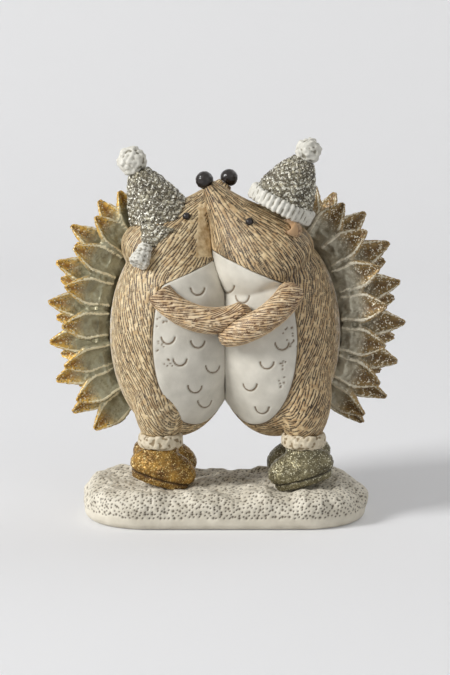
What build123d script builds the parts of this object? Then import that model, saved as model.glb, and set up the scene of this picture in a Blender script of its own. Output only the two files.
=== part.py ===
"""Two hedgehogs hugging on a snowy base, a painted cast-resin ornament.

Millimetres, +Z up. The origin is on the floor under the middle of the base. The front is -Y.
The left animal stands at -X and the right one at +X, and their bodies meet in the plane X = 0.
Every function that takes a side gets -1 for the left animal and +1 for the right one.
"""

import os
from math import cos, degrees, pi, radians, sin, sqrt

from build123d import *

LEFT, RIGHT = -1, 1
NAMES = {LEFT: "left", RIGHT: "right"}
FRONT, REAR = -1, 1
PLACES = {FRONT: "front", REAR: "rear"}

# Snowy base
base_length = 88.0
base_depth = 42.0
base_height = 10.2
base_corner = 20.0
base_top_round = 5.5
base_foot_round = 2.5
print_depth = 1.2

# Boots, each tipped up at the heel, with a fur cuff above
leg_spread = 17.0
leg_outset = {LEFT: 4.4, RIGHT: 8.7}
boot_height = 13.2
boot_half_length = 10.4
boot_radius = 6.0
boot_tip = 16.0
boot_shaft_radius = 5.5
sole_thickness = 2.0
sole_welt = 0.3
sole_trim = 0.8
belly_clearance = 1.8
cuff_height = 4.8
cuff_radius = 6.9
cuff_round = 1.6
haunch_radius = 8.6
haunch_half_height = 16.4
haunch_rise = 12.0

# Torso, an upright egg cut into belly, fur body and coat by planes across its facing direction
torso_radius = 20.2
torso_half_height = 32.5
torso_spacing = 31.0
torso_turn = 39.0
belly_reach = 10.4
coat_reach = 12.6
neck_rise = 18.3
neck_tilt = 23.0

# Heads, tapering to raised snouts that pass each other
head_radius = 16.2
head_back = 9.0
head_length = 31.0
cheek_radius = 12.8
cheek_distance = 11.0
muzzle_radius = 6.8
muzzle_distance = 21.0
snout_radius = 2.3
head_rise = 21.0
head_shift = -2.5
head_stagger = 3.0
head_lean = 54.0
head_yaw = 6.0
nose_radius = 2.7
nose_sink = 0.8
eye_radius = 1.25
eye_forward = 15.8
eye_up = 4.0
ear_radius = 3.7
ear_forward = 6.4
ear_up = 12.4
ear_cup_radius = 3.2

# Hats, both on the same line through the head
hat_forward = 8.9
hat_up = 6.5
hat_tilt = 27.5
hat_radius = {LEFT: 10.8, RIGHT: 9.6}
hat_neck_radius = 3.3
hat_bulge = {LEFT: 1.2, RIGHT: 1.6}
hat_seat = {LEFT: 0.0, RIGHT: 7.0}
hat_top = {LEFT: 19.6, RIGHT: 24.2}
pompom_radius = {LEFT: 4.6, RIGHT: 3.9}
pompom_sink = 0.8
brim_height = 4.4
brim_thickness = 0.9
brim_round = 0.7
flap_width = 12.0
flap_thickness = 1.9
flap_start_forward = 8.0
flap_start_up = 9.4
flap_end_forward = 1.6
flap_end_up = 8.2
flap_end_width = 4.6
tassel_length = 6.8
tassel_lift = 1.2
tassel_top_radius = 2.1
tassel_radius = 3.3
tassel_round = 0.9

# Arms, each from a shoulder across the gap to the other animal
arm_radius = 4.1
arm_lift = 1.6
shoulder_height = 15.0
shoulder_angle = -14.0
forearm_angle = 24.0
front_arm_level = {LEFT: 7.0, RIGHT: 4.2}
front_arm_lift = {LEFT: 0.0, RIGHT: 2.6}
front_hand_angle = {LEFT: 26.0, RIGHT: 42.0}
front_hand_level = {LEFT: 8.8, RIGHT: 2.6}
rear_shoulder_angle = 158.0
rear_hand_angle = 152.0
rear_arm_level = {LEFT: 7.0, RIGHT: 2.0}
rear_arm_lift = {LEFT: 4.0, RIGHT: 0.0}
hand_round = 3.4

# Quill coat, a bulging core with rings of leaf-shaped quills
coat_shift = 7.5
coat_rise = 3.0
coat_radius = 20.2
coat_half_height = 31.0
quill_width = 10.4
quill_root_width = 8.4
quill_tip_width = 3.4
quill_thickness = 4.6
quill_tip_thickness = 0.9
quill_shoulder = 0.5
quill_sink = 3.0
ring_depths = (0.9, 5.8, 10.2, 13.2)
ring_counts = (19, 17, 13, 8)
ring_lengths = (13.0, 16.0, 15.0, 12.0)
ring_leans = (12.0, 32.0, 52.0, 70.0)
pole_quill_length = 11.0
quill_gap = 5.5
quill_floor_gap = 14.0

torso_height = base_height + boot_height + belly_clearance + torso_half_height
meeting_plane = {side: Plane(origin=(0, 0, 0), z_dir=(side, 0, 0)) for side in NAMES}


def torso_centre(side):
    """Middle of one animal's torso."""
    return Vector(side * torso_spacing / 2, 0, torso_height)


def facing(side):
    """Level direction in which one animal's belly points."""
    return Vector(-side * sin(radians(torso_turn)), -cos(radians(torso_turn)), 0)


def belly_plane(side):
    """Plane between the fur body and the belly, looking out of the belly."""
    return Plane(torso_centre(side) + facing(side) * belly_reach, z_dir=facing(side))


def coat_plane(side):
    """Plane between the fur body and the quill coat, looking out of the back."""
    return Plane(torso_centre(side) - facing(side) * coat_reach, z_dir=-facing(side))


def neck_plane(side):
    """Tilted plane under the head, looking up."""
    tilt = radians(neck_tilt)
    return Plane(torso_centre(side) + Vector(0, 0, neck_rise), z_dir=(side * sin(tilt), 0, cos(tilt)))


def head_frame(side):
    """Plane at the middle of the head: x towards the nose, y towards the crown."""
    centre = torso_centre(side) + Vector(head_shift, -side * head_stagger, head_rise)
    lean, yaw = radians(head_lean), radians(head_yaw)
    forward = Vector(-side * cos(lean) * cos(yaw), -side * cos(lean) * sin(yaw), sin(lean))
    crown = Vector(side * sin(lean), 0, cos(lean))
    return Plane(centre, x_dir=forward, z_dir=forward.cross(crown))


def in_head(side, forward, up, across=0.0):
    """Point in the head, with across counted towards the front."""
    frame = head_frame(side)
    outward = frame.z_dir if frame.z_dir.Y < 0 else -frame.z_dir
    return frame.origin + frame.x_dir * forward + frame.y_dir * up + outward * across


def head_radius_at(forward):
    """Radius of the head at a distance in front of its middle, on straight lines between its stations."""
    stations = ((0, head_radius), (cheek_distance, cheek_radius), (muzzle_distance, muzzle_radius))
    for (near, wide), (far, narrow) in zip(stations, stations[1:]):
        if forward <= far:
            return wide + (narrow - wide) * (forward - near) / (far - near)
    return muzzle_radius


def on_head(side, forward, up, place):
    """Point on the head's skin, on its front or rear cheek."""
    return in_head(side, forward, up, -place * sqrt(head_radius_at(forward) ** 2 - up**2))


def hat_axis(side):
    """Axis of the hat, from the level of the left hat's edge towards its pompom."""
    frame = head_frame(side)
    tilt = radians(hat_tilt)
    direction = frame.x_dir * sin(tilt) + frame.y_dir * cos(tilt)
    return Axis(in_head(side, hat_forward, hat_up), direction)


def along_hat(side, distance):
    """Point on the hat's axis."""
    axis = hat_axis(side)
    return axis.position + axis.direction * distance


def egg(centre, radius, half_height):
    """Upright egg: half an ellipse turned about its own height."""
    with BuildPart() as form:
        with BuildSketch(Plane(centre, x_dir=(1, 0, 0), z_dir=(0, -1, 0))):
            with BuildLine():
                EllipticalCenterArc((0, 0), radius, half_height, start_angle=-90, arc_size=180)
                Line((0, half_height), (0, -half_height))
            make_face()
        revolve(axis=Axis(centre, (0, 0, 1)))
    return form.part


def carved(form, *tools):
    """A form with other forms taken out of it."""
    with BuildPart() as piece:
        add(form)
        for tool in tools:
            add(tool, mode=Mode.SUBTRACT)
    return piece.part


def sliced(form, *planes):
    """The part of a form that lies on the looked-at side of every plane."""
    with BuildPart() as piece:
        add(form)
        for plane in planes:
            split(bisect_by=plane, keep=Keep.TOP)
    return piece.part


def reverse(plane):
    """The same plane, looking the other way."""
    return Plane(plane.origin, x_dir=plane.x_dir, z_dir=-plane.z_dir)


def keep(piece, name):
    """Labels a finished piece and writes it."""
    piece.label = name
    export_step(piece, f"parts/{name}.step")


def head_form(side):
    """Head with its snout, a pear turned about the line to the nose."""
    frame = head_frame(side)
    with BuildPart() as form:
        with BuildSketch(frame):
            with BuildLine():
                EllipticalCenterArc((0, 0), head_back, head_radius, start_angle=90, arc_size=90)
                Spline(
                    (0, head_radius),
                    (cheek_distance, cheek_radius),
                    (muzzle_distance, muzzle_radius),
                    (head_length, snout_radius),
                    tangents=((1, 0), (head_length - muzzle_distance, snout_radius - muzzle_radius)),
                )
                Polyline((head_length, snout_radius), (head_length, 0), (-head_back, 0))
            make_face()
        revolve(axis=Axis(frame.origin, frame.x_dir))
    return form.part


def hat_form(side):
    """Solid cap of a knitted hat, narrowing in a full curve to its pompom."""
    axis = hat_axis(side)
    frame = Plane(axis.position, x_dir=axis.direction, z_dir=head_frame(side).z_dir)
    low, high = hat_seat[side], hat_top[side]
    middle = ((low + high) / 2, (hat_radius[side] + hat_neck_radius) / 2 + hat_bulge[side])
    with BuildPart() as form:
        with BuildSketch(frame):
            with BuildLine():
                ThreePointArc((low, hat_radius[side]), middle, (high, hat_neck_radius))
                Polyline((high, hat_neck_radius), (high, 0), (low, 0), (low, hat_radius[side]))
            make_face()
        revolve(axis=axis)
    return form.part


def brim_form(side):
    """Turned-up ribbed brim round the lower edge of the hat, before the hat is taken out of it."""
    seat = Plane(along_hat(side, hat_seat[side]), z_dir=hat_axis(side).direction)
    with BuildPart() as form:
        with BuildSketch(seat):
            Circle(hat_radius[side] + brim_thickness)
        extrude(amount=brim_height)
        fillet(form.edges().filter_by(GeomType.CIRCLE), brim_round)
    return form.part


def pompom_form(side):
    """Round pompom sunk a little onto the hat's tip."""
    with BuildPart() as form:
        with Locations(along_hat(side, hat_top[side] + pompom_radius[side] - pompom_sink)):
            Sphere(pompom_radius[side])
    return form.part


def flap_line(place):
    """Start, end and outward direction of an ear flap of the left hat, on the front or rear cheek."""
    start = on_head(LEFT, flap_start_forward, flap_start_up, place)
    end = on_head(LEFT, flap_end_forward, flap_end_up, place)
    outward = (end - in_head(LEFT, flap_end_forward, 0)).normalized()
    return start, end, outward


def flap_form(place):
    """Ear flap of the left hat, lying on the cheek and narrowing to its tassel."""
    start, end, outward = flap_line(place)
    along = (end - start).normalized()
    with BuildPart() as form:
        for middle, width in ((start, flap_width), (end, flap_end_width)):
            with BuildSketch(Plane(middle, x_dir=along.cross(outward), z_dir=along)):
                Ellipse(width / 2, flap_thickness)
        loft()
    return form.part


def tassel_form(place):
    """Flared yarn tassel at the end of an ear flap."""
    start, end, outward = flap_line(place)
    along = (end - start).normalized()
    middle = end + outward * tassel_lift
    with BuildPart() as form:
        with BuildSketch(Plane(middle, z_dir=along)):
            Circle(tassel_top_radius)
        with BuildSketch(Plane(middle + along * tassel_length, z_dir=along)):
            Circle(tassel_radius)
        loft()
        fillet(form.edges().filter_by(GeomType.CIRCLE).sort_by(Axis(middle, along))[-1], tassel_round)
    return form.part


def ear_form(side, place):
    """Round ear with a cupped front."""
    middle = on_head(side, ear_forward, ear_up, place)
    hollow = middle + head_frame(side).x_dir * ear_cup_radius + Vector(0, place * ear_radius / 2, 0)
    with BuildPart() as form:
        with Locations(middle):
            Sphere(ear_radius)
        with Locations(hollow):
            Sphere(ear_cup_radius, mode=Mode.SUBTRACT)
    return form.part


def leg_axis(side, place):
    """Point on the floor under an ankle."""
    return Vector(side * (torso_spacing / 2 + leg_outset[side]), place * leg_spread / 2, 0)


def sole_plane(side, place):
    """Plane between boot and sole: x towards the toe, sloping down to it, looking up."""
    tip = radians(boot_tip)
    toe = Vector(-side * cos(tip), 0, -sin(tip))
    up = Vector(-side * sin(tip), 0, cos(tip))
    rise = base_height - print_depth + sole_thickness + boot_half_length * sin(tip)
    return Plane(leg_axis(side, place) + Vector(0, 0, rise), x_dir=toe, z_dir=up)


def boot_form(side, place):
    """Boot: a rounded foot with a short shaft, flat underneath."""
    ground = sole_plane(side, place)
    heart = ground.origin + ground.z_dir * boot_radius / 2
    ankle = leg_axis(side, place)
    shaft_top = base_height + boot_height
    with BuildPart() as form:
        with BuildSketch(Plane(heart, x_dir=ground.z_dir, z_dir=ground.y_dir)):
            with BuildLine():
                EllipticalCenterArc((0, 0), boot_radius, boot_half_length, start_angle=-90, arc_size=180)
                Line((0, -boot_half_length), (0, boot_half_length))
            make_face()
        revolve(axis=Axis(heart, ground.x_dir))
        with BuildSketch(Plane(ankle + Vector(0, 0, heart.Z))):
            Circle(boot_shaft_radius)
        extrude(amount=shaft_top - heart.Z)
        split(bisect_by=ground, keep=Keep.TOP)
    return form.part


def sole_form(side, place):
    """Thick sole with a narrow welt, narrowing downwards, its toe pressed into the snow."""
    ground = sole_plane(side, place)
    heart_rise = boot_radius / 2
    half_width = sqrt(boot_radius**2 - heart_rise**2)
    half_length = boot_half_length * half_width / boot_radius
    with BuildPart() as form:
        for drop, margin in ((0, sole_welt), (sole_thickness, sole_welt - sole_trim)):
            with BuildSketch(ground.offset(-drop)):
                Ellipse(half_length + margin, half_width + margin)
        loft()
    return form.part


def cuff_form(side, place):
    """Fur cuff round the ankle, resting on the boot."""
    with BuildPart() as form:
        with BuildSketch(Plane(leg_axis(side, place) + Vector(0, 0, base_height + boot_height))):
            Circle(cuff_radius)
        extrude(amount=cuff_height)
        fillet(form.edges(), cuff_round)
    return form.part


def haunch_form(side, place):
    """Top of a leg, a small egg from inside the cuff up into the torso."""
    rise = base_height + boot_height + cuff_height + haunch_rise
    return egg(leg_axis(side, place) + Vector(0, 0, rise), haunch_radius, haunch_half_height)


def on_torso(side, angle, height, lift):
    """Point over the torso's skin: angle from the front towards the other animal, height from its middle."""
    reach = torso_radius * sqrt(1 - (height / torso_half_height) ** 2) + lift
    offset = Vector(-side * reach * sin(radians(angle)), -reach * cos(radians(angle)), height)
    return torso_centre(side) + offset


def arm_form(start, middle, end):
    """Arm bent in one even curve, with a round hand at its end."""
    with BuildLine():
        bend = ThreePointArc(start, middle, end)
    with BuildPart() as form:
        with BuildSketch(Plane(bend @ 0, z_dir=bend % 0)):
            Circle(arm_radius)
        pivot = Axis(bend.arc_center, bend.normal())
        revolve(axis=pivot, revolution_arc=degrees(bend.length / bend.radius))
        with Locations(Plane(bend @ 1, z_dir=bend % 1)):
            Sphere(arm_radius, arc_size1=0)
    return form.part


def front_arm(side):
    """Front arm: down from the shoulder, across the gap and onto the other belly."""
    lift = arm_lift + front_arm_lift[side]
    return arm_form(
        on_torso(side, shoulder_angle, shoulder_height, 0),
        on_torso(side, forearm_angle, front_arm_level[side], lift),
        on_torso(-side, front_hand_angle[side], front_hand_level[side], lift),
    )


def rear_arm(side):
    """Rear arm: straight from the side behind onto the other animal's back, with a round hand."""
    start = on_torso(side, rear_shoulder_angle, shoulder_height, 0)
    end = on_torso(-side, rear_hand_angle, rear_arm_level[side], arm_lift + rear_arm_lift[side])
    along = (end - start).normalized()
    with BuildPart() as form:
        with BuildSketch(Plane(start, z_dir=along)):
            Circle(arm_radius)
        extrude(amount=(end - start).length)
        fillet(form.faces().sort_by(Axis(start, along))[-1].edges(), hand_round)
    return form.part


def quill(root, along, across, length):
    """Leaf-shaped quill with a ridge on each face, from inside the coat's core to a blunt tip."""
    stations = (
        (-quill_sink, quill_root_width, quill_thickness),
        (length * quill_shoulder, quill_width, quill_thickness),
        (length, quill_tip_width, quill_tip_thickness),
    )
    with BuildPart() as form:
        for distance, width, thickness in stations:
            with BuildSketch(Plane(root + along * distance, x_dir=across, z_dir=along)):
                Polygon((width / 2, 0), (0, thickness / 2), (-width / 2, 0), (0, -thickness / 2), align=None)
        loft(ruled=True)
    return form.part


def coat_centre(side):
    """Middle of the bulging egg under the quills."""
    return torso_centre(side) - facing(side) * coat_shift + Vector(0, 0, coat_rise)


def quills(side):
    """Quills in rings round the axis of the back, each ring leaning further back than the last."""
    back = -facing(side)
    level = Vector(0, 0, 1).cross(back)
    found = [quill(coat_centre(side) + back * coat_radius, back, level, pole_quill_length)]
    for ring, (depth, count) in enumerate(zip(ring_depths, ring_counts)):
        behind = coat_reach - coat_shift + depth
        share = sqrt(1 - (behind / coat_radius) ** 2)
        wide, tall = coat_radius * share, coat_half_height * share
        lean, stagger = radians(ring_leans[ring]), (ring % 2) / 2
        for number in range(count):
            turn = 2 * pi * (number + stagger) / count
            spoke = level * cos(turn) * wide + Vector(0, 0, sin(turn) * tall)
            outward = (level * cos(turn) / wide + Vector(0, 0, sin(turn) / tall)).normalized()
            root = coat_centre(side) + back * behind + spoke
            along = outward * cos(lean) + back * sin(lean)
            tip = root + along * ring_lengths[ring]
            clear = min(side * root.X, side * tip.X) > quill_gap
            if clear and tip.Z > base_height + quill_floor_gap:
                found.append(quill(root, along, outward.cross(back), ring_lengths[ring]))
    return found


def coat_form(side):
    """Bulging core of the back with all its quills in one casting."""
    with BuildPart() as form:
        add(sliced(egg(coat_centre(side), coat_radius, coat_half_height), coat_plane(side)))
        add(quills(side))
        split(bisect_by=meeting_plane[side], keep=Keep.TOP)
    return form.part


def largest(piece):
    """The biggest solid of a piece, without the crumbs that a cut left."""
    with BuildPart() as rest:
        add(piece.solids().sort_by(SortBy.VOLUME)[-1])
    return rest.part


os.makedirs("parts", exist_ok=True)

heads = {side: head_form(side) for side in NAMES}
hats = {side: hat_form(side) for side in NAMES}
torsos = {side: egg(torso_centre(side), torso_radius, torso_half_height) for side in NAMES}
haunches = {side: [haunch_form(side, place) for place in PLACES] for side in NAMES}
trunks, wholes = {}, {}
for side in NAMES:
    with BuildPart() as trunk:
        add(sliced(torsos[side], meeting_plane[side]))
        add(heads[side])
    trunks[side] = trunk.part if side == RIGHT else carved(trunk.part, heads[RIGHT])
    with BuildPart() as whole:
        add(torsos[side])
        add(heads[side])
        add(haunches[side])
    wholes[side] = whole.part

soles = {(side, place): sole_form(side, place) for side in NAMES for place in PLACES}
with BuildPart() as base:
    with BuildSketch():
        RectangleRounded(base_length, base_depth, base_corner)
    extrude(amount=base_height)
    fillet(base.faces().sort_by(Axis.Z)[-1].edges(), base_top_round)
    fillet(base.faces().sort_by(Axis.Z)[0].edges(), base_foot_round)
    add(list(soles.values()), mode=Mode.SUBTRACT)
keep(base.part, "snow_base")

front_arms = {side: front_arm(side) for side in NAMES}
rear_arms = {side: rear_arm(side) for side in NAMES}

for side, name in NAMES.items():
    other = -side
    below = reverse(neck_plane(side))
    between = (reverse(belly_plane(side)), reverse(coat_plane(side)))
    with BuildPart() as body:
        add(sliced(trunks[side], below, *between))
        add(haunches[side])
    keep(body.part, f"{name}_body")
    keep(carved(sliced(trunks[side], below, belly_plane(side)), *haunches[side]), f"{name}_belly")
    keep(sliced(trunks[side], neck_plane(side), reverse(coat_plane(side))), f"{name}_head")

    rear_pieces = [cuff_form(side, REAR), boot_form(side, REAR), rear_arms[side], rear_arms[other]]
    if side == LEFT:
        rear_pieces += [flap_form(REAR), tassel_form(REAR)]
    coat = carved(coat_form(side), wholes[side], hats[side], pompom_form(side), *rear_pieces)
    keep(largest(coat), f"{name}_quill_coat")

    with BuildPart() as nose:
        with Locations(in_head(side, head_length + nose_radius - nose_sink, 0)):
            Sphere(nose_radius)
    keep(carved(nose.part, *wholes.values()), f"{name}_nose")

    for place, where in PLACES.items():
        with BuildPart() as eye:
            with Locations(on_head(side, eye_forward, eye_up, place)):
                Sphere(eye_radius)
        keep(carved(eye.part, *wholes.values()), f"{name}_{where}_eye")

        boot = boot_form(side, place)
        keep(carved(soles[side, place], boot), f"{name}_{where}_sole")
        keep(boot, f"{name}_{where}_boot")
        keep(carved(cuff_form(side, place), boot, wholes[side]), f"{name}_{where}_cuff")

    keep(carved(hats[side], wholes[side]), f"{name}_hat")
    keep(carved(pompom_form(side), hats[side]), f"{name}_pompom")

keep(carved(brim_form(RIGHT), wholes[RIGHT], hats[RIGHT]), "right_hat_brim")
for place, where in PLACES.items():
    keep(carved(ear_form(RIGHT, place), wholes[RIGHT], brim_form(RIGHT), hats[RIGHT]), f"right_{where}_ear")
    flap = carved(flap_form(place), hats[LEFT], *wholes.values())
    keep(flap, f"left_{where}_ear_flap")
    keep(carved(tassel_form(place), *wholes.values()), f"left_{where}_tassel")

for arms, where in ((front_arms, "front"), (rear_arms, "rear")):
    skins = (*torsos.values(), *heads.values())
    keep(largest(carved(arms[RIGHT], *skins)), f"right_{where}_arm")
    keep(largest(carved(arms[LEFT], arms[RIGHT], *skins)), f"left_{where}_arm")
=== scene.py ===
"""Looks of a resin ornament: two hugging hedgehogs with hats and boots on a snowy base.

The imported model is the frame. Blender works in metres and this script thinks in millimetres:
points() and place() convert. +Z is up and the pair faces -Y. LEFT and RIGHT are the photo's sides.
"""

import math

import bpy
import numpy as np
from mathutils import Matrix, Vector, kdtree
from mathutils.bvhtree import BVHTree


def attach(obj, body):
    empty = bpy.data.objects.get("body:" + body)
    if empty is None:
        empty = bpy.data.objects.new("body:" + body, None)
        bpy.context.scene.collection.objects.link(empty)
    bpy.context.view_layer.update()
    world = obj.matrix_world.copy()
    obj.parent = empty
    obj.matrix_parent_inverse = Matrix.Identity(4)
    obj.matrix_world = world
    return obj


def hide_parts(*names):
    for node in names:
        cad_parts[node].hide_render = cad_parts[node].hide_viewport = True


MM = 0.001
LEFT, RIGHT = -1, 1
SIDES = {LEFT: "left", RIGHT: "right"}
UP = np.array((0.0, 0.0, 1.0))

# Layout of the two animals, as in the part's source
torso_spacing = 31
torso_height = 57.7
torso_turn = math.radians(39)
belly_reach = 10.4
coat_reach = 12.6
neck_rise = 14
head_rise = 21
head_shift = -2.5
head_stagger = 3
head_lean = math.radians(54)
head_yaw = math.radians(6)
hat_forward = 8.9
hat_up = 6.5
hat_tilt = math.radians(27.5)

# Quill coat
coat_shift = 7.5
coat_rise = 3
coat_radius = 20.2
coat_half_height = 31
quill_width = 10.4
quill_root_width = 8.4
quill_tip_width = 1.2
quill_thickness = 4.4
quill_tip_thickness = 1.5
quill_sink = 3
ring_depths = (0.9, 5.8, 10.2, 13.2)
ring_counts = (19, 17, 13, 8)
ring_lengths = (13, 16, 15, 12)
ring_leans = (12, 32, 52, 70)
pole_quill_length = 11
quill_gap = 5.5
quill_floor = 24.2
quill_roll = math.radians(16)
quill_shortening = 0.1
quill_end_on = 0.2
quill_grain = 0.1
quill_grain_size = 1.6

# One quill is a cupped leaf. Runs go from 0 at the root to 1 at the tip, and across from 0 at the
# spine to 1 at the edge.
leaf_rows = 15
leaf_columns = 11
leaf_widest = 0.45
leaf_taper_start = 0.3
leaf_taper_power = 1.35
leaf_rim = 0.82
leaf_rim_width = 0.16
leaf_rim_height = 0.3
leaf_cup = 0.15
leaf_edge = 0.55
leaf_keel = 0.75
leaf_back_marks = (1, 0.6, 0)
core_rows = 24
core_columns = 48
core_pole = 0.02

# Skins: the size of their grids, how strongly they are evened out, and how far a dent reaches
# in its own radii
fur_voxel = 0.31
belly_voxel = 0.4
coat_voxel = 0.48
snow_voxel = 0.42
bead_voxel = 0.15
smooth_pull = 0.5
lump_waves = 9
dent_reach = 2.2

# Carved fur. Hidden skin lies under the coat and the belly, and frost lies next to the coat.
fur_slant = math.radians(24)
fur_rounds = 5
stroke_step = 0.35
body_stroke_steps = 5
head_stroke_steps = 9
stroke_lengths = (0.6, 1.3)
stroke_clearance = 1.2
stroke_wobble = 0.07
stroke_gap = 0.62
stroke_width = 0.2
stroke_depth = 0.24
neck_slope = 0.3
neck_blend = 8
joint_rounds = 40
joint_rows = (4, 14)
hidden_slope = 0.97
hidden_depth = 0.5
frost_start = 2
frost_size = 3
frost_mean = 0.55
frost_swing = 0.45
ear_hollow = (1.8, 2.8)
ear_front = 0.2

# Knit, wool, boots and eyes
stitch_columns = 14
stitch_row = 1.9
stitch_slant = 1.4
stitch_height = 0.2
knit_lump = 0.15
knit_lump_size = 2.5
rib_count = 38
rib_height = 0.22
rib_lump = 0.5
rib_lump_size = 2
wool_coarse = 0.6
wool_fine = 0.4
wool_fine_size = 0.5
wool_sink = 0.3
boot_tip = math.radians(16)
boot_lump = 0.08
boot_lump_size = 1.5
welt_rise = 0.2
welt_width = 0.35
welt_depth = 0.3
bead_lump = 0.04
bead_lump_size = 1.2

# Snow
foot_rows = (0.4, 2)
drift_rows = (2.5, 5)
drift_slopes = (-0.4, 0.6)
drift_height = 0.7
drift_size = 13
ripple_height = 0.4
ripple_size = 5
mound_places = (-33, 33)
mound_back = 8
mound_radius = 8
mound_height = 2
pit_ground = 0.5
pit_overlap = 0.1
pit_gaps = (2.1, 1.05)
pit_radii = (0.44, 0.3)
pit_depth = 0.45

# Camera of the photo, whose frame is 450 by 675 pixels
photo_width = 450
photo_height = 675
lens = 100
sensor = 36
camera_distance = 581
camera_rise = math.radians(9)
camera_target = np.array((0, 0, 56.2))

# Paints: roughness, sizes of brush marks, flakes and grain in millimetres, picture colours, and
# the ranges over which one colour gives way to another
brush_range = (0.35, 0.65)
fur_roughness = 0.55
fur_brush = 1.6
fur_groove = (0.12, 0.7)
fur_grain = 0.5
fur_bump = 0.1
fur_bump_strength = 0.35
frost_flake = 0.45
frost_shade = (214, 205, 190)
frost_light = (250, 248, 242)
chalk_roughness = 0.6
chalk_range = (0.3, 0.7)
chalk_groove = (0.15, 0.75)
chalk_grain = 0.4
chalk_bump = 0.1
chalk_bump_strength = 0.4
glitter_roughness = 0.36
glitter_patch = 3
glitter_range = (0.3, 0.7)
flake_edge = 0.05
dark_flakes = 0.6
glitter_tilt = 0.9
coat_roughness = 0.4
coat_metal = 0.35
coat_flake = 0.34
hollow_range = (0.45, 0.9)
speck_range = (0.86, 0.9)
satin_patch = 4
satin_range = (0.4, 0.8)
tip_fade = 0.35
rim_range = (0.55, 1)
coat_tilt = 0.35
gloss_roughness = 0.28
gloss_patch = 0.8
gloss_worn = (44, 34, 30)
ear_brush = 0.7
ear_shade = (128, 92, 62)
ear_light = (206, 178, 142)
ear_inside = (190, 154, 114)
ear_bump = 0.15
ear_bump_strength = 0.5
knit_groove = (0.2, 1)
rib_groove = (0.5, 1.4)
wool_groove = (0.15, 0.75)

# Floor and backdrop, in metres
sheet_front = -6.0
sheet_bend = 0.6
sheet_curve = 0.5
sheet_curve_points = 17
sheet_wide = 5.0
sheet_high = 2.4
sheet_roughness = 0.9
sheet_grey = (218, 218, 219)

# Marks on the bellies
smile_line = 0.3
mark_depth = 0.35
belly_edge = (0.3, 1)
belly_wave = 0.12
belly_wave_size = 9

# Seeds of the random draws. The first four have the side added, so that the animals differ.
stroke_seed = 20
arm_seed = 40
quill_seed = 50
belly_pit_seed = 60
frost_seed = 3
belly_seed = 5
quill_grain_seed = 7
knit_seed = 11
wool_seeds = (13, 17)
boot_seed = 19
drift_seeds = (23, 29)
snow_pit_seed = 31
bead_seed = 37
rib_seed = 41

# Strength of the even light, where it falls on things and where it is seen
sky_light = 0.28
sky_look = 0.74

# Glow of the sheet where it is seen, as metres from the object and strength there
sheet_glow = ((0.25, 0.12), (1.3, 0.16), (3.6, 0.5))

# Places in the photo, in its pixels
belly_smiles = {
    LEFT: ((198, 287), (168, 336), (198, 340), (180, 358), (213, 365), (195, 385), (205, 400)),
    RIGHT: ((227, 285), (242, 295), (282, 342), (267, 361), (250, 383), (262, 406)),
}
belly_pits = {
    LEFT: ((160, 321), (160, 346), (169, 362)),
    RIGHT: ((289, 331), (292, 344), (282, 366), (281, 383)),
}
smile_width = 14
smile_drop = 8
smile_ends = 0.15
smile_points = 25
pits_each = 7
pits_spread = 3.2
bare_cheek_rows = (203, 257)
bare_cheek_left = (199, 196)
bare_cheek_right = (201, 216.5)

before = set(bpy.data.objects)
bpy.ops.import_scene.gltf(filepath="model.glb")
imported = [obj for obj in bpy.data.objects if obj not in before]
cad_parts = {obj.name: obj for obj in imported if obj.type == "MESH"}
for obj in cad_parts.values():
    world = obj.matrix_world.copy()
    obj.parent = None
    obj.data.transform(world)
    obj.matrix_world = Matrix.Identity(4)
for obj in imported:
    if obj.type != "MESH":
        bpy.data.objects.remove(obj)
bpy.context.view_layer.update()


def unit(vectors):
    """Vectors scaled to length one along the last axis."""
    return vectors / np.maximum(np.linalg.norm(vectors, axis=-1, keepdims=True), 1e-9)


def torso_centre(side):
    return np.array((side * torso_spacing / 2, 0, torso_height))


def facing(side):
    return np.array((-side * math.sin(torso_turn), -math.cos(torso_turn), 0))


def head_centre(side):
    return torso_centre(side) + np.array((head_shift, -side * head_stagger, head_rise))


def head_forward(side):
    inward = -side * math.cos(head_lean)
    return np.array((inward * math.cos(head_yaw), inward * math.sin(head_yaw), math.sin(head_lean)))


def head_crown(side):
    return np.array((side * math.sin(head_lean), 0, math.cos(head_lean)))


def hat_root(side):
    return head_centre(side) + head_forward(side) * hat_forward + head_crown(side) * hat_up


def hat_axis(side):
    return unit(head_forward(side) * math.sin(hat_tilt) + head_crown(side) * math.cos(hat_tilt))


# Camera geometry

camera_out = np.array((0, -math.cos(camera_rise), math.sin(camera_rise)))
camera_up = np.array((0, math.sin(camera_rise), math.cos(camera_rise)))
camera_eye = camera_target + camera_out * camera_distance
photo_scale = sensor / lens / photo_height


def sight_line(across, down):
    """Direction from the camera through a pixel of the photo."""
    ray = -camera_out + camera_up * (photo_height / 2 - down) * photo_scale
    ray = ray + np.array((1, 0, 0)) * (across - photo_width / 2) * photo_scale
    return unit(ray)


def pixels(spots):
    """Pixels of the photo at which points are seen."""
    away = spots - camera_eye
    depth = away @ -camera_out * photo_scale
    return photo_width / 2 + away[:, 0] / depth, photo_height / 2 - away @ camera_up / depth


# Meshes

def mesh_piece(name, corners, faces):
    mesh = bpy.data.meshes.new(name)
    mesh.from_pydata(corners, [], faces)
    piece = bpy.data.objects.new(name, mesh)
    bpy.context.scene.collection.objects.link(piece)
    return piece


def collect(name, *nodes):
    """A new piece with the shapes of some nodes."""
    corners, faces = [], []
    for node in nodes:
        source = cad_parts[node]
        first = len(corners)
        corners += [source.matrix_world @ vertex.co for vertex in source.data.vertices]
        faces += [[first + corner for corner in face.vertices] for face in source.data.polygons]
    return mesh_piece(name, corners, faces)


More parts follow.
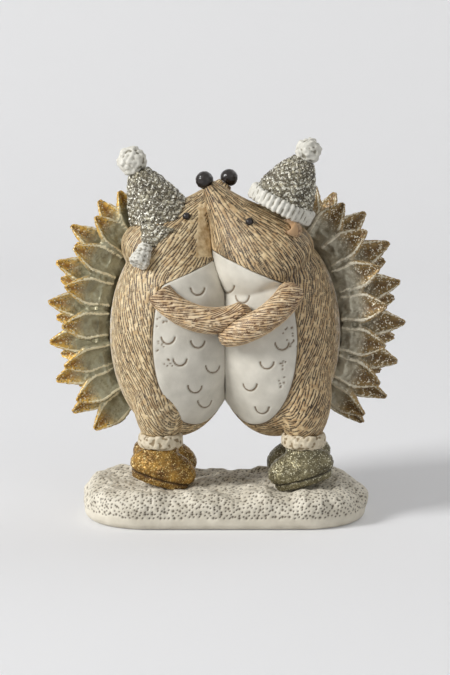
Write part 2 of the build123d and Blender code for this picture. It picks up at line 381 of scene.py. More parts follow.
def remesh(piece, voxel):
    """Turns overlapping closed shapes into one even skin."""
    piece.data.remesh_voxel_size = voxel * MM
    bpy.context.view_layer.objects.active = piece
    bpy.ops.object.voxel_remesh()
    piece.data.shade_smooth()


def points(piece):
    flat = np.empty(len(piece.data.vertices) * 3)
    piece.data.vertices.foreach_get("co", flat)
    return flat.reshape(-1, 3) / MM


def normals(piece):
    flat = np.empty(len(piece.data.vertices) * 3)
    piece.data.vertices.foreach_get("normal", flat)
    return flat.reshape(-1, 3)


def place(piece, spots):
    piece.data.vertices.foreach_set("co", (spots * MM).ravel())
    piece.data.update()


def push(piece, heights):
    """Moves the skin outwards by a height for each vertex."""
    place(piece, points(piece) + normals(piece) * heights[:, None])


def mark(piece, name, values):
    """Keeps a number for each vertex, for the materials."""
    kept = piece.data.attributes.new(name, "FLOAT", "POINT")
    kept.data.foreach_set("value", np.asarray(values, dtype=np.float32))


def smooth(piece, rounds, share=1.0):
    """Evens the skin out. share tells how much each vertex takes part."""
    ends = np.empty(len(piece.data.edges) * 2, dtype=np.int32)
    piece.data.edges.foreach_get("vertices", ends)
    here = np.concatenate((ends[0::2], ends[1::2]))
    there = np.concatenate((ends[1::2], ends[0::2]))
    spots = points(piece)
    count = np.bincount(here, minlength=len(spots))[:, None]
    share = np.broadcast_to(np.asarray(share, dtype=float), len(spots))[:, None]
    for _ in range(rounds):
        sums = [np.bincount(here, spots[there, axis], minlength=len(spots)) for axis in range(3)]
        spots = spots + (np.stack(sums, axis=1) / count - spots) * share * smooth_pull
    place(piece, spots)


def tree_of(spots):
    tree = kdtree.KDTree(len(spots))
    for index, spot in enumerate(spots):
        tree.insert(spot, index)
    tree.balance()
    return tree


def lumps(spots, size, seed):
    """Smooth irregular bumps between -1 and 1, about size across."""
    random = np.random.default_rng(seed)
    waves = unit(random.normal(size=(lump_waves, 3))) * 2 * math.pi / size
    phases = random.uniform(0, 2 * math.pi, lump_waves)
    heights = np.sin(spots @ waves.T + phases).sum(axis=1) / math.sqrt(lump_waves)
    return np.clip(heights, -1, 1)


def ramp(values, low, high):
    """0 below low, 1 above high and smooth between them."""
    share = np.clip((values - low) / (high - low), 0, 1)
    return share * share * (3 - 2 * share)


def dents(spots, tree, places, radius):
    """How deep each vertex lies in round dents at some places, from 0 to 1."""
    depth = np.zeros(len(spots))
    for centre in places:
        for _, index, away in tree.find_range(centre, radius * dent_reach):
            depth[index] = max(depth[index], math.exp(-(away / radius) ** 2))
    return depth


def scattered(spots, tree, allowed, gap, seed):
    """Vertices chosen at random among the allowed ones, at least gap apart."""
    free = allowed.copy()
    chosen = []
    for index in np.random.default_rng(seed).permutation(np.flatnonzero(allowed)):
        if free[index]:
            chosen.append(index)
            for _, near, _ in tree.find_range(spots[index], gap):
                free[near] = False
    return chosen


# Carved fur

def stroke_line(start, steps, lean, flow, spots, skin, tree):
    """Points of one stroke that follows the flow both ways over the skin, leaning a little."""
    line = [spots[start]]
    for way in (stroke_step, -stroke_step):
        spot, index = spots[start], start
        for _ in range(steps):
            spot = spot + (flow[index] + np.cross(skin[index], flow[index]) * lean) * way
            _, index, _ = tree.find(spot)
            spot = spot - skin[index] * ((spot - spots[index]) @ skin[index])
            line.append(spot)
    return line


def carve(piece, flow, allowed, steps, seed):
    """Cuts strokes into the fur along the flow and marks them as groove. steps sets their length."""
    spots, skin = points(piece), normals(piece)
    flow = unit(flow - skin * (flow * skin).sum(axis=1)[:, None])
    tree = tree_of(spots)
    free = allowed.copy()
    grooves = []
    random = np.random.default_rng(seed)
    for start in random.permutation(np.flatnonzero(allowed)):
        if not free[start]:
            continue
        reach = (steps[start] + 1) * stroke_step * stroke_clearance
        near = np.array([index for _, index, _ in tree.find_range(spots[start], reach)])
        away = spots[near] - spots[start]
        run = away @ flow[start]
        apart = np.linalg.norm(away - run[:, None] * flow[start], axis=1)
        free[near[apart < stroke_gap]] = False
        lean = random.normal(scale=stroke_wobble)
        length = int(steps[start] * random.uniform(*stroke_lengths))
        grooves += stroke_line(start, length, lean, flow, spots, skin, tree)
    groove = dents(spots, tree, grooves, stroke_width) * allowed
    push(piece, -stroke_depth * groove)
    mark(piece, "groove", groove)


def head_share(side, spots):
    """1 on the head, 0 on the body and between them at the neck."""
    inner = -side * (spots[:, 0] - torso_centre(side)[0])
    return ramp(spots[:, 2] - torso_height + neck_slope * inner, neck_rise, neck_rise + neck_blend)


def fur_flow(side, spots, skin):
    """Fur runs down the body and slants to the belly, and runs back from the nose on the head."""
    down = np.cross(skin, facing(side))
    down = unit(down * np.where(down[:, 2:] > 0, -1, 1))
    slanted = down * math.cos(fur_slant) + facing(side) * math.sin(fur_slant)
    on_head = head_share(side, spots)[:, None]
    return slanted * (1 - on_head) - head_forward(side) * on_head


def bare_cheek(spots, skin):
    """True on the smooth wedge between the two faces."""
    across, down = pixels(spots)
    low, high = bare_cheek_rows
    share = (down - low) / (high - low)
    left = bare_cheek_left[0] + (bare_cheek_left[1] - bare_cheek_left[0]) * share
    right = bare_cheek_right[0] + (bare_cheek_right[1] - bare_cheek_right[0]) * share
    return (share > 0) & (share < 1) & (across > left) & (across < right) & (skin[:, 1] < 0)


def fur_trunk(side):
    """Body and head of one animal, blended into one carved egg."""
    name = SIDES[side]
    piece = collect(f"{name}_fur", f"{name}_body", f"{name}_head")
    remesh(piece, fur_voxel)
    smooth(piece, joint_rounds, 1 - ramp(points(piece)[:, 2] - torso_height, *joint_rows))
    smooth(piece, fur_rounds)
    spots, skin = points(piece), normals(piece)
    ahead = (spots - torso_centre(side)) @ facing(side)
    covered = (skin @ facing(side) < -hidden_slope) & (ahead < hidden_depth - coat_reach)
    covered |= (skin @ facing(side) > hidden_slope) & (np.abs(ahead - belly_reach) < hidden_depth)
    on_head = head_share(side, spots)
    steps = body_stroke_steps + (head_stroke_steps - body_stroke_steps) * on_head
    carved = ~covered & ~bare_cheek(spots, skin)
    carve(piece, fur_flow(side, spots, skin), carved, steps, stroke_seed + side)
    patches = frost_mean + frost_swing * lumps(spots, frost_size, frost_seed)
    frost = ramp(-ahead, frost_start, coat_reach) * (1 - on_head) * patches
    mark(piece, "frost", np.clip(frost, 0, 1))
    return piece


def fur_arm(side, where):
    """One arm with strokes from the shoulder to the hand."""
    node = f"{SIDES[side]}_{where}_arm"
    piece = collect(f"{node}_fur", node)
    remesh(piece, fur_voxel)
    smooth(piece, rounds=6)
    spots = points(piece)
    flow = np.cross(UP, spots - torso_centre(side))
    everywhere = np.ones(len(spots), dtype=bool)
    carve(piece, flow, everywhere, np.full(len(spots), head_stroke_steps), arm_seed + side)
    mark(piece, "frost", np.zeros(len(spots)))
    return piece


def ear(where):
    """One round ear, marked where it is hollow."""
    node = f"right_{where}_ear"
    piece = collect(f"{node}_fur", node)
    remesh(piece, fur_voxel)
    smooth(piece, rounds=4)
    spots = points(piece)
    out = spots - spots.mean(axis=0)
    hollow = 1 - ramp(np.hypot(out[:, 0], out[:, 2]), *ear_hollow)
    mark(piece, "hollow", hollow * (normals(piece) @ facing(RIGHT) > ear_front))
    return piece


# Bellies

def belly(side):
    """One belly with smile-shaped marks, pits and an engraved edge."""
    name = SIDES[side]
    piece = collect(f"{name}_belly_skin", f"{name}_belly")
    remesh(piece, belly_voxel)
    smooth(piece, rounds=5)
    spots = points(piece)
    tree = tree_of(spots)
    surface = BVHTree.FromPolygons(spots, [face.vertices[:] for face in piece.data.polygons])

    def seen(across, down):
        hit, *_ = surface.ray_cast(camera_eye, sight_line(across, down))
        return [] if hit is None else [hit]

    places = []
    for across, down in belly_smiles[side]:
        for turn in np.linspace(smile_ends, math.pi - smile_ends, smile_points):
            places += seen(across - math.cos(turn) * smile_width / 2, down + math.sin(turn) * smile_drop)
    random = np.random.default_rng(belly_pit_seed + side)
    for across, down in belly_pits[side]:
        for shift in random.normal(scale=pits_spread, size=(pits_each, 2)):
            places += seen(across + shift[0], down + shift[1])
    groove = dents(spots, tree, places, smile_line)
    ahead = (spots - torso_centre(side)) @ facing(side)
    edge = 1 - ramp(ahead - belly_reach, *belly_edge)
    engraved = np.maximum(groove, edge)
    push(piece, -mark_depth * engraved + belly_wave * lumps(spots, belly_wave_size, belly_seed))
    mark(piece, "groove", engraved)
    return piece


# Quill coats

def leaf(root, along, face, length):
    """Corners, faces and paint marks of one cupped leaf with thick rims."""
    runs = np.linspace(-quill_sink / length, 1, leaf_rows)
    sides = np.linspace(-1, 1, leaf_columns)
    run, across = np.meshgrid(runs, sides, indexing="ij")
    grow = np.clip(run / leaf_widest, 0, 1)
    taper = 1 - np.clip((run - leaf_taper_start) / (1 - leaf_taper_start), 0, 1) ** leaf_taper_power
    full = quill_root_width + (quill_width - quill_root_width) * grow
    half = (quill_tip_width + (full - quill_tip_width) * taper) / 2
    thick = quill_thickness + (quill_tip_thickness - quill_thickness) * np.clip(run, 0, 1)
    rim = np.exp(-((np.abs(across) - leaf_rim) / leaf_rim_width) ** 2)
    cup = thick / 2 * (leaf_cup + (1 - leaf_cup) * across**2)
    cup = cup * np.where(np.abs(across) == 1, leaf_edge, 1) + leaf_rim_height * rim
    keel = -thick / 2 * (1 - leaf_keel * across**2)
    sideways = np.cross(along, face)
    spine = root + along * run[..., None] * length + sideways * (across * half)[..., None]
    front = spine + face * cup[..., None]
    back = spine + face * keel[..., None]
    corners = np.concatenate((front.reshape(-1, 3), back.reshape(-1, 3)))
    marks = np.stack((run.ravel(), rim.ravel(), 1 - np.abs(across).ravel()), axis=1)
    marks = np.concatenate((marks, marks * leaf_back_marks))
    return corners, leaf_faces(*run.shape), marks


def leaf_faces(rows, columns):
    """Quads of a closed sheet whose front and back share a grid."""
    shift = rows * columns
    faces = []
    for row in range(rows - 1):
        for column in range(columns - 1):
            here = row * columns + column
            quad = (here, here + 1, here + columns + 1, here + columns)
            faces += [quad, tuple(corner + shift for corner in reversed(quad))]
    border = list(range(columns))
    border += [row * columns + columns - 1 for row in range(1, rows)]
    border += [(rows - 1) * columns + column for column in range(columns - 2, -1, -1)]
    border += [row * columns for row in range(rows - 2, 0, -1)]
    for here, there in zip(border, border[1:] + border[:1]):
        faces.append((there, here, here + shift, there + shift))
    return faces


def coat_centre(side):
    return torso_centre(side) - facing(side) * coat_shift + UP * coat_rise


def quill_places(side):
    """Root, direction and length of every quill of one coat."""
    back = -facing(side)
    level = np.cross(UP, back)
    centre = coat_centre(side)
    for ring, count in enumerate(ring_counts):
        behind = coat_reach - coat_shift + ring_depths[ring]
        share = math.sqrt(1 - (behind / coat_radius) ** 2)
        wide, tall = coat_radius * share, coat_half_height * share
        lean = math.radians(ring_leans[ring])
        for number in range(count):
            turn = 2 * math.pi * (number + ring % 2 / 2) / count
            root = centre + back * behind + level * math.cos(turn) * wide + UP * math.sin(turn) * tall
            outward = unit(level * math.cos(turn) / wide + UP * math.sin(turn) / tall)
            along = outward * math.cos(lean) + back * math.sin(lean)
            tip = root + along * ring_lengths[ring]
            clear = min(side * root[0], side * tip[0]) > quill_gap
            if clear and tip[2] > quill_floor:
                yield root, along, ring_lengths[ring]
    yield centre + back * coat_radius, back, pole_quill_length


def coat_core(side):
    """Corners and faces of the egg under the quills, flat against the body."""
    rows, columns = core_rows, core_columns
    tilts = np.linspace(core_pole, math.pi - core_pole, rows)
    turns = np.arange(columns) * 2 * math.pi / columns
    tilt, turn = np.meshgrid(tilts, turns, indexing="ij")
    egg = np.stack((np.sin(tilt) * np.cos(turn), np.sin(tilt) * np.sin(turn), np.cos(tilt)), axis=-1)
    corners = coat_centre(side) + egg.reshape(-1, 3) * (coat_radius, coat_radius, coat_half_height)
    excess = np.maximum((corners - torso_centre(side)) @ facing(side) + coat_reach, 0)
    corners = corners - excess[:, None] * facing(side)
    last = (rows - 1) * columns
    faces = [tuple(range(columns))[::-1], tuple(range(last, last + columns))]
    for row in range(rows - 1):
        for column in range(columns):
            there = (column + 1) % columns
            first, second = row * columns, (row + 1) * columns
            faces.append((first + column, second + column, second + there, first + there))
    return corners, faces


def quill_coat(side):
    """All quills of one animal as one skin, marked from root to tip."""
    name = SIDES[side]
    corners, faces = coat_core(side)
    marks = np.zeros((len(corners), 3))
    random = np.random.default_rng(quill_seed + side)
    for root, along, length in quill_places(side):
        face = facing(side) - along * (facing(side) @ along)
        face = unit(face) if np.linalg.norm(face) > quill_end_on else UP
        roll = random.uniform(-quill_roll, quill_roll)
        face = face * math.cos(roll) + np.cross(along, face) * math.sin(roll)
        length = length * (1 - random.uniform(0, quill_shortening))
        new_corners, new_faces, new_marks = leaf(root, along, face, length)
        faces += [tuple(corner + len(corners) for corner in quad) for quad in new_faces]
        corners = np.concatenate((corners, new_corners))
        marks = np.concatenate((marks, new_marks))
    piece = mesh_piece(f"{name}_quills", corners * MM, faces)
    remesh(piece, coat_voxel)
    smooth(piece, rounds=2)
    spots = points(piece)
    tree = tree_of(corners)
    nearest = [tree.find(spot)[1] for spot in spots]
    for column, kind in enumerate(("tip", "rim", "hollow")):
        mark(piece, kind, marks[nearest, column])
    push(piece, quill_grain * lumps(spots, quill_grain_size, quill_grain_seed))
    return piece


# Hats, boots and snow

def around_hat(side, spots):
    """How far points lie along the axis of a hat, and the angle at which they lie round it."""
    out = spots - hat_root(side)
    level = unit(np.cross(hat_axis(side), np.array((0, 1, 0))))
    turn = np.arctan2(out @ np.cross(hat_axis(side), level), out @ level)
    return out @ hat_axis(side), turn


def knitted(name, node, side):
    """A hat or ear flap with slanted rows of stitches."""
    piece = collect(name, node)
    remesh(piece, fur_voxel)
    smooth(piece, rounds=4)
    spots = points(piece)
    along, turn = around_hat(side, spots)
    stitch = np.abs((turn * stitch_columns / (2 * math.pi)) % 1 - 0.5)
    rows = np.sin(2 * math.pi * (along / stitch_row + stitch * stitch_slant))
    push(piece, stitch_height * rows + knit_lump * lumps(spots, knit_lump_size, knit_seed))
    mark(piece, "groove", ramp(-rows, *knit_groove))
    return piece


def ribbed(name, node, side):
    """A hat brim knitted in ribs."""
    piece = collect(name, node)
    remesh(piece, fur_voxel)
    smooth(piece, rounds=3)
    spots = points(piece)
    _, turn = around_hat(side, spots)
    ribs = np.sin(turn * rib_count) + rib_lump * lumps(spots, rib_lump_size, rib_seed)
    push(piece, rib_height * ribs)
    mark(piece, "groove", ramp(-ribs, *rib_groove))
    return piece


def woolly(name, node, size, height):
    """A pompom, tassel or cuff of lumpy wool."""
    piece = collect(name, node)
    remesh(piece, fur_voxel)
    smooth(piece, rounds=4)
    spots = points(piece)
    coarse = lumps(spots, size, wool_seeds[0])
    fine = lumps(spots, size * wool_fine_size, wool_seeds[1])
    lump = coarse * wool_coarse + fine * wool_fine
    push(piece, height * (lump - wool_sink))
    mark(piece, "groove", ramp(-lump, *wool_groove))
    return piece


def boot(side, where):
    """One boot and its sole, with a dark welt along the slope between them."""
    name = f"{SIDES[side]}_{where}_boot"
    sole = f"{SIDES[side]}_{where}_sole"
    slope = np.array((-side * math.sin(boot_tip), 0, math.cos(boot_tip)))
    top = max(np.array(vertex.co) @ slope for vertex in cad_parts[sole].data.vertices) / MM
    piece = collect(f"{name}_glitter", name, sole)
    remesh(piece, fur_voxel)
    smooth(piece, rounds=6)
    spots = points(piece)
    welt = np.exp(-((spots @ slope - top - welt_rise) / welt_width) ** 2)
    push(piece, boot_lump * lumps(spots, boot_lump_size, boot_seed) - welt_depth * welt)
    mark(piece, "groove", welt)
    return piece


def snow():
    """The base: low drifts, many small pits and a plain band round the foot."""
    piece = collect("snow", "snow_base")
    remesh(piece, snow_voxel)
    smooth(piece, rounds=8, share=ramp(points(piece)[:, 2], *foot_rows))
    spots, skin = points(piece), normals(piece)
    above = ramp(spots[:, 2], *drift_rows)
    drift = drift_height * (lumps(spots, drift_size, drift_seeds[0]) + 1)
    drift = drift + ripple_height * lumps(spots, ripple_size, drift_seeds[1])
    for across in mound_places:
        beside = (spots[:, 0] - across) / mound_radius
        behind = (spots[:, 1] - mound_back) / mound_radius
        drift = drift + mound_height * np.exp(-(beside**2) - behind**2)
    push(piece, drift * above * ramp(skin[:, 2], *drift_slopes))
    spots = points(piece)
    tree = tree_of(spots)
    pits = np.zeros(len(spots))
    for gap, radius in zip(pit_gaps, pit_radii):
        chosen = scattered(spots, tree, (above > pit_ground) & (pits < pit_overlap), gap, snow_pit_seed)
        pits = np.maximum(pits, dents(spots, tree, spots[chosen], radius))
    push(piece, -pit_depth * pits)
    mark(piece, "groove", pits)
    return piece


def bead(name, node):
    """A nose or an eye, rounded off."""
    piece = collect(name, node)
    remesh(piece, bead_voxel)
    smooth(piece, rounds=6)
    push(piece, bead_lump * lumps(points(piece), bead_lump_size, bead_seed))
    return piece


# Materials

def material(name, roughness, metallic=0.0):
    """A new material and its shader."""
    made = bpy.data.materials.new(name)
    made.use_nodes = True
    shader = made.node_tree.nodes["Principled BSDF"]
    shader.inputs["Roughness"].default_value = roughness
    shader.inputs["Metallic"].default_value = metallic
    return made, shader


def feed(made, socket, value):
    if isinstance(value, bpy.types.NodeSocket):
        made.node_tree.links.new(value, socket)
    else:
        socket.default_value = value


def colour(red, green, blue):
    """A colour given as the 0 to 255 numbers of a picture."""
    def linear(part):
        part = part / 255
        return part / 12.92 if part <= 0.04045 else ((part + 0.055) / 1.055) ** 2.4
    return (linear(red), linear(green), linear(blue), 1)


def blend(made, share, first, second):
    """Goes from the first colour to the second as share goes from 0 to 1."""
    node = made.node_tree.nodes.new("ShaderNodeMix")
    node.data_type = "RGBA"
    feed(made, node.inputs[0], share)
    feed(made, node.inputs[6], first)
    feed(made, node.inputs[7], second)
    return node.outputs[2]


def layer(made, name):
    node = made.node_tree.nodes.new("ShaderNodeAttribute")
    node.attribute_name = name
    return node.outputs["Fac"]


def band(made, value, low, high):
    """0 where value is below low, 1 above high."""
    node = made.node_tree.nodes.new("ShaderNodeMapRange")
    feed(made, node.inputs["Value"], value)
    node.inputs["From Min"].default_value = low
    node.inputs["From Max"].default_value = high
    return node.outputs["Result"]


def own_space(made, node):
    """Fixes a texture to the object."""
    place_node = made.node_tree.nodes.new("ShaderNodeTexCoord")
    made.node_tree.links.new(place_node.outputs["Object"], node.inputs["Vector"])


def grain(made, size, detail=3.0):
    """Soft irregular noise with features about size across."""
    node = made.node_tree.nodes.new("ShaderNodeTexNoise")
    node.inputs["Scale"].default_value = 1 / (size * MM)
    node.inputs["Detail"].default_value = detail
    own_space(made, node)
    return node.outputs["Fac"]


def flakes(made, size):
    """Cells of random colour, size across."""
    node = made.node_tree.nodes.new("ShaderNodeTexVoronoi")
    node.inputs["Scale"].default_value = 1 / (size * MM)
    own_space(made, node)
    return node.outputs["Color"]


def channel(made, value, name):
    node = made.node_tree.nodes.new("ShaderNodeSeparateColor")
    feed(made, node.inputs["Color"], value)
    return node.outputs[name]


def tilt_flakes(made, shader, cells, strength):
    """Turns every flake its own way, so that glitter sparkles."""
    nodes = made.node_tree.nodes
    centred = nodes.new("ShaderNodeVectorMath")
    centred.operation = "SUBTRACT"
    centred.inputs[1].default_value = (0.5, 0.5, 0.5)
    feed(made, centred.inputs[0], cells)
    scaled = nodes.new("ShaderNodeVectorMath")
    scaled.operation = "SCALE"
    scaled.inputs["Scale"].default_value = strength
    feed(made, scaled.inputs[0], centred.outputs[0])
    summed = nodes.new("ShaderNodeVectorMath")
    summed.operation = "ADD"
    feed(made, summed.inputs[0], scaled.outputs[0])
    feed(made, summed.inputs[1], nodes.new("ShaderNodeNewGeometry").outputs["Normal"])
    normal = nodes.new("ShaderNodeVectorMath")
    normal.operation = "NORMALIZE"
    feed(made, normal.inputs[0], summed.outputs[0])
    feed(made, shader.inputs["Normal"], normal.outputs[0])


def roughen(made, shader, height, size, strength):
    """Small relief from a grey pattern, size high in millimetres."""
    node = made.node_tree.nodes.new("ShaderNodeBump")
    node.inputs["Strength"].default_value = strength
    node.inputs["Distance"].default_value = size * MM
    feed(made, node.inputs["Height"], height)
    feed(made, shader.inputs["Normal"], node.outputs["Normal"])


def fur_paint(name, ridge, coat, groove):
    """Cream ridges brushed over tan, brown in the grooves and frosted next to the quills."""
    made, shader = material(name, fur_roughness)
    brushed = blend(made, band(made, grain(made, fur_brush), *brush_range), coat, ridge)
    flake = channel(made, flakes(made, frost_flake), "Red")
    frost = blend(made, flake, colour(*frost_shade), colour(*frost_light))
    brushed = blend(made, layer(made, "frost"), brushed, frost)
    carved = blend(made, band(made, layer(made, "groove"), *fur_groove), brushed, groove)
    feed(made, shader.inputs["Base Color"], carved)
    roughen(made, shader, grain(made, fur_grain), fur_bump, fur_bump_strength)
    return made


def chalk_paint(name, light, shade, groove, grain_size):
    """Pale paint with a darker wash in its dents. On the snow's pits this dark is partly painted shade.
    """
    made, shader = material(name, chalk_roughness)
    base = blend(made, band(made, grain(made, grain_size), *chalk_range), shade, light)
    washed = blend(made, band(made, layer(made, "groove"), *chalk_groove), base, groove)
    feed(made, shader.inputs["Base Color"], washed)
    roughen(made, shader, grain(made, chalk_grain), chalk_bump, chalk_bump_strength)
    return made


def glitter(name, metal, flash, shadow, groove, size, share, metallic):
    """Metal paint full of flakes: most in the metal colour, some bright and some dark."""
    made, shader = material(name, glitter_roughness, metallic)
    cells = flakes(made, size)
    base = blend(made, band(made, grain(made, glitter_patch), *glitter_range), metal, shadow)
    bright = band(made, channel(made, cells, "Red"), 1 - share, 1 - share + flake_edge)
    base = blend(made, bright, base, flash)
    limit = share * dark_flakes
    dark = band(made, channel(made, cells, "Green"), limit, limit - flake_edge)
    base = blend(made, dark, base, shadow)
    feed(made, shader.inputs["Base Color"], blend(made, layer(made, "groove"), base, groove))
    tilt_flakes(made, shader, cells, glitter_tilt)
    return made


def coat_paint(name, root, tip, rim, hollow, dark, tip_start):
    """Quill paint: satin roots, glittering tips, a painted highlight along the rims, dark hollows, and
    glitter specks in the dark and the rim colour.
    """
    made, shader = material(name, coat_roughness, coat_metal)
    cells = flakes(made, coat_flake)
    base = blend(made, band(made, layer(made, "hollow"), *hollow_range), tip, hollow)
    base = blend(made, band(made, channel(made, cells, "Green"), *speck_range), base, dark)
    base = blend(made, band(made, channel(made, cells, "Red"), *speck_range), base, rim)
    satin = blend(made, band(made, grain(made, satin_patch), *satin_range), root, dark)
    base = blend(made, band(made, layer(made, "tip"), tip_start, tip_start + tip_fade), satin, base)
    # Painted highlight: the raised rims take the light rim colour.
    rimmed = blend(made, band(made, layer(made, "rim"), *rim_range), base, rim)
    feed(made, shader.inputs["Base Color"], rimmed)
    tilt_flakes(made, shader, cells, coat_tilt)
    return made


def gloss_paint(name, base):
    """Black enamel, a little worn."""
    made, shader = material(name, gloss_roughness)
    worn = blend(made, grain(made, gloss_patch), base, colour(*gloss_worn))
    feed(made, shader.inputs["Base Color"], worn)
    return made


def ear_paint(name):
    """Brushed tan fur with a plain hollow."""
    made, shader = material(name, fur_roughness)
    brush = band(made, grain(made, ear_brush), *brush_range)
    fur = blend(made, brush, colour(*ear_shade), colour(*ear_light))
    feed(made, shader.inputs["Base Color"], blend(made, layer(made, "hollow"), fur, colour(*ear_inside)))
    roughen(made, shader, grain(made, fur_grain), ear_bump, ear_bump_strength)
    return made


def finish(piece, paint, slot, *nodes):
    """Paints a piece and puts it in the place of its nodes."""
    piece.data.materials.clear()
    piece.data.materials.append(paint)
    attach(piece, "root")
    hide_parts(*nodes)


# The object

# The bodies' fur paints are darker copies of the arm fur, with painted shade in them. The right
# animal's, whose side faces away from the key lamp, is the darkest. The left one is lowered for its head
# in the shade of the hat.
shaded_fur_paints = {
    LEFT: fur_paint(
        "fur_left_painted_shade",
        ridge=colour(228, 208, 168),
        coat=colour(182, 153, 110),
        groove=colour(62, 44, 26),
    ),
    RIGHT: fur_paint(
        "fur_right_painted_shade",
        ridge=colour(216, 192, 150),
        coat=colour(170, 139, 98),
        groove=colour(48, 36, 22),
    ),
}
arm_paint = fur_paint(
    "fur_arms",
    ridge=colour(234, 212, 176),
    coat=colour(208, 174, 128),
    groove=colour(92, 62, 36),
)
belly_paint = chalk_paint(
    "belly",
    light=colour(218, 213, 200),
    shade=colour(198, 193, 180),
    groove=colour(116, 98, 74),
    grain_size=5,
)
wool_paint = chalk_paint(
    "wool",
    light=colour(226, 223, 212),
    shade=colour(202, 199, 188),
    groove=colour(142, 137, 122),
    grain_size=1.2,
)
cuff_paint = chalk_paint(
    "cuffs",
    light=colour(222, 210, 186),
    shade=colour(197, 183, 155),
    groove=colour(140, 122, 92),
    grain_size=1.2,
)
# The dark brown in the snow's pits is partly the real wash and partly painted shade in the pits.
snow_paint = chalk_paint(
    "snow",
    light=colour(230, 223, 206),
    shade=colour(204, 196, 178),
    groove=colour(84, 72, 54),
    grain_size=5,
)
# rim is the colour of the painted highlight along the quill rims, and also of the bright glitter specks.
coat_paints = {
    LEFT: coat_paint(
        "quills_left",
        root=colour(170, 166, 138),
        tip=colour(210, 168, 78),
        rim=colour(230, 220, 186),
        hollow=colour(142, 98, 34),
        dark=colour(104, 92, 62),
        tip_start=0.4,
    ),
    RIGHT: coat_paint(
        "quills_right",
        root=colour(192, 186, 166),
        tip=colour(154, 128, 82),
        rim=colour(226, 218, 196),
        hollow=colour(104, 78, 42),
        dark=colour(108, 98, 80),
        tip_start=0.18,
    ),
}
boot_paints = {
    LEFT: glitter(
        "boot_left",
        metal=colour(176, 135, 60),
        flash=colour(246, 222, 156),
        shadow=colour(96, 66, 24),
        groove=colour(58, 38, 18),
        size=0.26,
        share=0.12,
        metallic=0.45,
    ),
    RIGHT: glitter(
        "boot_right",
        metal=colour(140, 132, 100),
        flash=colour(222, 216, 186),
        shadow=colour(80, 73, 50),
        groove=colour(50, 44, 32),
        size=0.26,
        share=0.12,
        metallic=0.45,
    ),
}
hat_paint = glitter(
    "hat",
    metal=colour(178, 171, 146),
    flash=colour(250, 247, 232),
    shadow=colour(58, 50, 36),
    groove=colour(92, 84, 66),
    size=0.4,
    share=0.34,
    metallic=0.2,
)
black_paint = gloss_paint("black", colour(14, 12, 12))
coat_slots = {LEFT: "quill_gold", RIGHT: "quill_silver"}
boot_slots = {LEFT: "boot_gold", RIGHT: "boot_silver"}

finish(snow(), snow_paint, "snow_white", "snow_base")
for side, name in SIDES.items():
    # The body fur paint holds painted shade, darker on the right animal.
    finish(fur_trunk(side), shaded_fur_paints[side], "fur_tan", f"{name}_body", f"{name}_head")
    finish(belly(side), belly_paint, "belly_white", f"{name}_belly")
    finish(quill_coat(side), coat_paints[side], coat_slots[side], f"{name}_quill_coat")
    finish(knitted(f"{name}_hat_knit", f"{name}_hat", side), hat_paint, "hat_glitter", f"{name}_hat")
    pompom = woolly(f"{name}_pompom_wool", f"{name}_pompom", size=3, height=0.6)
    finish(pompom, wool_paint, "wool_white", f"{name}_pompom")
    finish(bead(f"{name}_nose_bead", f"{name}_nose"), black_paint, "gloss_black", f"{name}_nose")
    for where in ("front", "rear"):
        each = f"{name}_{where}"
        finish(fur_arm(side, where), arm_paint, "fur_tan", f"{each}_arm")
        finish(bead(f"{each}_eye_bead", f"{each}_eye"), black_paint, "gloss_black", f"{each}_eye")
        finish(boot(side, where), boot_paints[side], boot_slots[side], f"{each}_boot", f"{each}_sole")
        cuff = woolly(f"{each}_cuff_wool", f"{each}_cuff", size=2.4, height=0.25)
        finish(cuff, cuff_paint, "wool_white", f"{each}_cuff")
finish(ribbed("right_brim_wool", "right_hat_brim", RIGHT), wool_paint, "wool_white", "right_hat_brim")
for where in ("front", "rear"):
    finish(ear(where), ear_paint(f"ear_{where}"), "fur_tan", f"right_{where}_ear")
    flap = f"left_{where}_ear_flap"
    finish(knitted(f"{flap}_knit", flap, LEFT), hat_paint, "hat_glitter", flap)
    tassel = f"left_{where}_tassel"
    finish(woolly(f"{tassel}_wool", tassel, size=1.6, height=0.35), wool_paint, "wool_white", tassel)


# Floor, light and camera

def studio():
    """One pale sheet: floor in front, curving up into a backdrop."""
    profile = [(sheet_front, 0.0)]
    for turn in np.linspace(0, math.pi / 2, sheet_curve_points):
        back = sheet_bend + sheet_curve * math.sin(turn)
        profile.append((back, sheet_curve - sheet_curve * math.cos(turn)))
    profile.append((sheet_bend + sheet_curve, sheet_high))
    corners = [(across, y, z) for y, z in profile for across in (-sheet_wide, sheet_wide)]
    faces = [(2 * row, 2 * row + 1, 2 * row + 3, 2 * row + 2) for row in range(len(profile) - 1)]
    sheet = mesh_piece("studio", corners, faces)
    sheet.data.shade_smooth()
    sheet.data.materials.append(studio_paint())


def in_sight(made):
    """1 for what is seen straight or in metal and glass, 0 for light that falls on things."""
    nodes = made.node_tree.nodes
    path = nodes.new("ShaderNodeLightPath")
    seen = path.outputs["Is Camera Ray"]
    for kind in ("Is Glossy Ray", "Is Transmission Ray"):
        either = nodes.new("ShaderNodeMath")
        either.operation = "MAXIMUM"
        feed(made, either.inputs[0], seen)
        feed(made, either.inputs[1], path.outputs[kind])
        seen = either.outputs[0]
    return seen


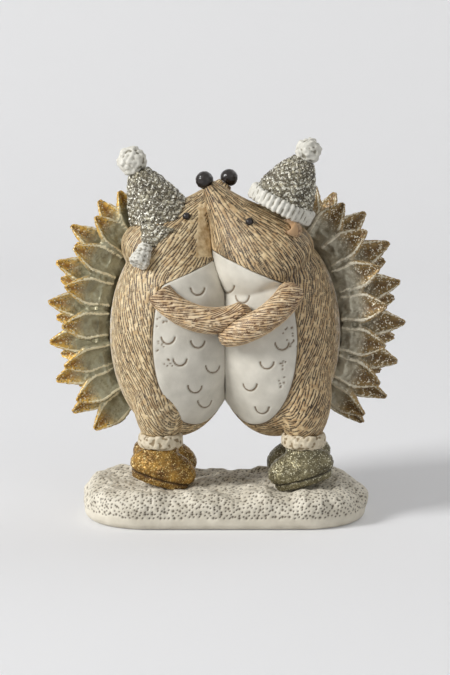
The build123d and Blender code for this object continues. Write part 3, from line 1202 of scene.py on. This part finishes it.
def studio_paint():
    """Pale grey that looks a little brighter far from the object, where less light falls."""
    made, shader = material("studio", sheet_roughness)
    shader.inputs["Base Color"].default_value = colour(*sheet_grey)
    shader.inputs["Emission Color"].default_value = (1, 1, 1, 1)
    nodes = made.node_tree.nodes
    away = nodes.new("ShaderNodeVectorMath")
    away.operation = "LENGTH"
    own_space(made, away)
    glow = sheet_glow[0][1]
    for (near, _), (far, strength) in zip(sheet_glow, sheet_glow[1:]):
        step = nodes.new("ShaderNodeMapRange")
        feed(made, step.inputs["Value"], away.outputs["Value"])
        feed(made, step.inputs["From Min"], near)
        feed(made, step.inputs["From Max"], far)
        feed(made, step.inputs["To Min"], glow)
        feed(made, step.inputs["To Max"], strength)
        glow = step.outputs["Result"]
    seen = nodes.new("ShaderNodeMath")
    seen.operation = "MULTIPLY"
    feed(made, seen.inputs[0], glow)
    feed(made, seen.inputs[1], in_sight(made))
    feed(made, shader.inputs["Emission Strength"], seen.outputs[0])
    return made


def lamp(name, spot, size, power):
    """A soft square lamp aimed at the middle of the object, spot in millimetres."""
    light = bpy.data.lights.new(name, "AREA")
    light.size = size * MM
    light.energy = power
    holder = bpy.data.objects.new(name, light)
    holder.location = Vector(spot) * MM
    holder.rotation_euler = (Vector(camera_target) - Vector(spot)).to_track_quat("-Z", "Y").to_euler()
    bpy.context.scene.collection.objects.link(holder)


def sky():
    """Even light from all round, that looks as pale as the backdrop where it is seen."""
    world = bpy.data.worlds.new("studio_light")
    world.use_nodes = True
    background = world.node_tree.nodes["Background"]
    background.inputs["Color"].default_value = (1, 1, 1, 1)
    strength = world.node_tree.nodes.new("ShaderNodeMapRange")
    strength.inputs["To Min"].default_value = sky_light
    strength.inputs["To Max"].default_value = sky_look
    feed(world, strength.inputs["Value"], in_sight(world))
    feed(world, background.inputs["Strength"], strength.outputs["Result"])
    return world


def camera():
    data = bpy.data.cameras.new("photo_camera")
    data.lens = lens
    data.sensor_fit = "VERTICAL"
    data.sensor_height = sensor
    holder = bpy.data.objects.new("photo_camera", data)
    holder.location = Vector(camera_eye) * MM
    holder.rotation_euler = (math.pi / 2 - camera_rise, 0, 0)
    bpy.context.scene.collection.objects.link(holder)
    bpy.context.scene.camera = holder


studio()
lamp("key", spot=(-1360, -680, 940), size=560, power=28)
lamp("fill", spot=(1100, -1300, 800), size=1200, power=3.4)
lamp("back", spot=(900, 700, 900), size=900, power=3)
bpy.context.scene.world = sky()
bpy.context.scene.view_settings.view_transform = "Standard"
camera()
